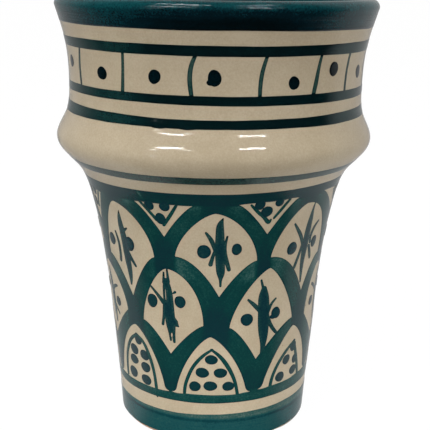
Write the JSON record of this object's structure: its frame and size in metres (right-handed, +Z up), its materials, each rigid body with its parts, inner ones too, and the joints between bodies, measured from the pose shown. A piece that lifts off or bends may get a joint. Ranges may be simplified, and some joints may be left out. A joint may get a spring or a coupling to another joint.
{
  "type": "ceramic tumbler",
  "caption": "Thrown earthenware tumbler with a flared rim and a ring bulge, glazed cream, with brushed green bands, neck panels and a net of leaf-filled arches.",
  "frame": {"origin": "centre of the foot, on the surface that the tumbler stands on", "axes": "+Z up along the turning axis, -Y towards the front of the picture, +X to its right"},
  "size_m": [0.0834, 0.0834, 0.1106],
  "materials": {
    "biscuit_clay": "bare fired clay, matt",
    "cream_glaze": "gloss cream tin glaze",
    "green_glaze": "gloss brushed copper green",
    "dark_green_glaze": "gloss brushed dark green",
    "blue_black_glaze": "gloss brushed blue-black"
  },
  "bodies": {
    "root": {"clay_body": "biscuit_clay", "inner_glaze": "cream_glaze", "outer_glaze": "cream_glaze", "rim_band": "green_glaze", "neck_ladder": "dark_green_glaze", "collar_stripe": "dark_green_glaze", "waist_line": "dark_green_glaze", "scale_lattice": "green_glaze", "foot_band": "green_glaze", "panel_dot_01": "blue_black_glaze", "panel_dot_02": "blue_black_glaze", "panel_dot_03": "blue_black_glaze", "panel_dot_04": "blue_black_glaze", "panel_dot_05": "blue_black_glaze", "panel_dot_06": "blue_black_glaze", "panel_dot_07": "blue_black_glaze", "panel_dot_08": "blue_black_glaze", "panel_dot_09": "blue_black_glaze", "panel_dot_10": "blue_black_glaze", "panel_dot_11": "blue_black_glaze", "panel_dot_12": "blue_black_glaze", "panel_dot_13": "blue_black_glaze", "panel_dot_14": "blue_black_glaze", "panel_dot_15": "blue_black_glaze", "panel_dot_16": "blue_black_glaze", "leaf_sprig_01": "blue_black_glaze", "leaf_sprig_02": "blue_black_glaze", "leaf_sprig_03": "blue_black_glaze", "leaf_sprig_04": "blue_black_glaze", "leaf_sprig_05": "blue_black_glaze", "leaf_sprig_06": "blue_black_glaze", "leaf_sprig_07": "blue_black_glaze", "leaf_sprig_08": "blue_black_glaze", "leaf_sprig_09": "blue_black_glaze", "leaf_sprig_10": "blue_black_glaze", "leaf_sprig_11": "blue_black_glaze", "leaf_sprig_12": "blue_black_glaze", "leaf_sprig_13": "blue_black_glaze", "leaf_sprig_14": "blue_black_glaze", "leaf_sprig_15": "blue_black_glaze", "leaf_sprig_16": "blue_black_glaze"}
  },
  "joints": []
}
